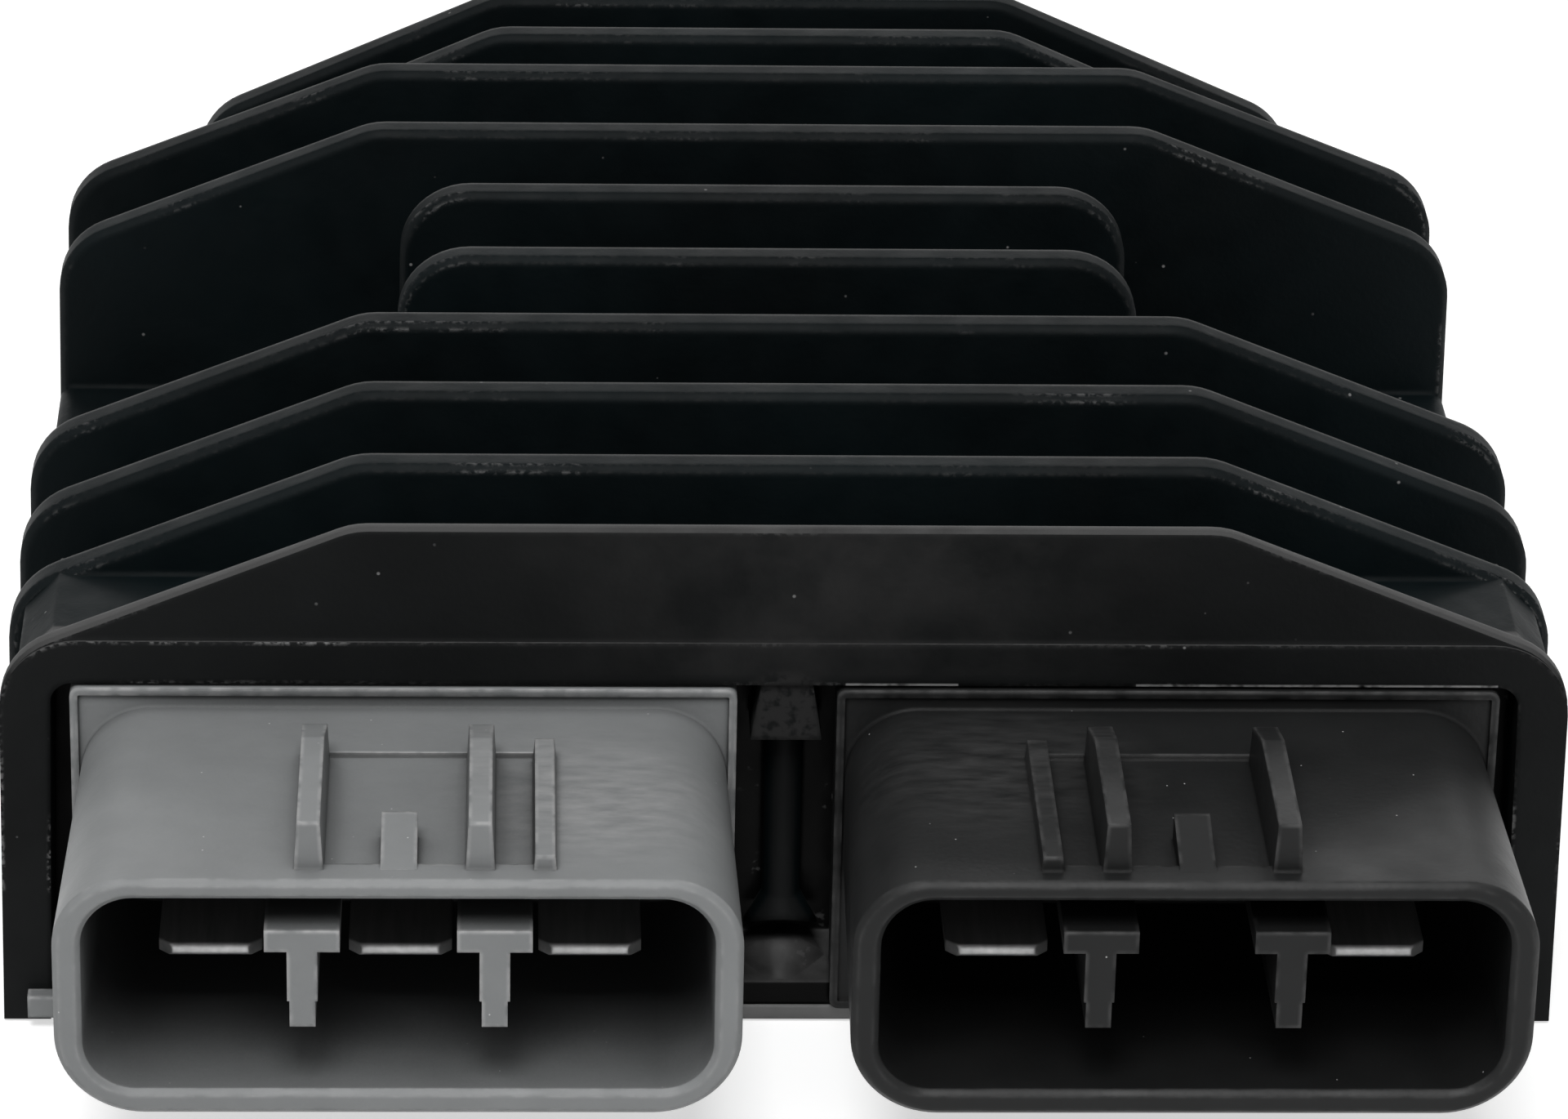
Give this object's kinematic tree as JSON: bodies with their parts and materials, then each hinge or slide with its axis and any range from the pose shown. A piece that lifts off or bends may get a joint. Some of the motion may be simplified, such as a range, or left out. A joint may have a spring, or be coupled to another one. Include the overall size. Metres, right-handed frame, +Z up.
{
  "type": "voltage regulator rectifier",
  "caption": "Finned black die-cast regulator rectifier with grey and black plug housings in front, potted inside, held by screws through its ears.",
  "frame": {"origin": "midway between the two mounting holes, on the base plane", "axes": "+X to the right seen from the plugs, +Y to the rear, +Z up through the fins, along the mounting holes"},
  "size_m": [0.0994, 0.1172, 0.0347],
  "materials": {
    "casting_paint": "satin black paint on a die casting",
    "grey_plastic": "mid grey moulded plastic",
    "black_plastic": "black moulded plastic",
    "tinned_metal": "dull tin plating",
    "resin": "black potting resin",
    "plate": "dull sheet",
    "substrate": "insulated metal board",
    "circuit_board": "green solder mask",
    "chip_plastic": "moulded epoxy",
    "can": "drawn can",
    "header_plastic": "moulded strip"
  },
  "bodies": {
    "root": {"ac_terminal_1": "tinned_metal", "ac_terminal_2": "tinned_metal", "ac_terminal_3": "tinned_metal", "base_plate": "plate", "capacitor_1": "can", "capacitor_2": "can", "connector_black": "black_plastic", "connector_grey": "grey_plastic", "control_board": "circuit_board", "control_chip": "chip_plastic", "dc_terminal_1": "tinned_metal", "dc_terminal_2": "tinned_metal", "gate_driver": "chip_plastic", "housing": "casting_paint", "potting_resin": "resin", "power_device_1": "chip_plastic", "power_device_2": "chip_plastic", "power_device_3": "chip_plastic", "power_device_4": "chip_plastic", "power_device_5": "chip_plastic", "power_device_6": "chip_plastic", "power_substrate": "substrate", "signal_header": "header_plastic", "zener_diode": "chip_plastic"}
  },
  "joints": []
}
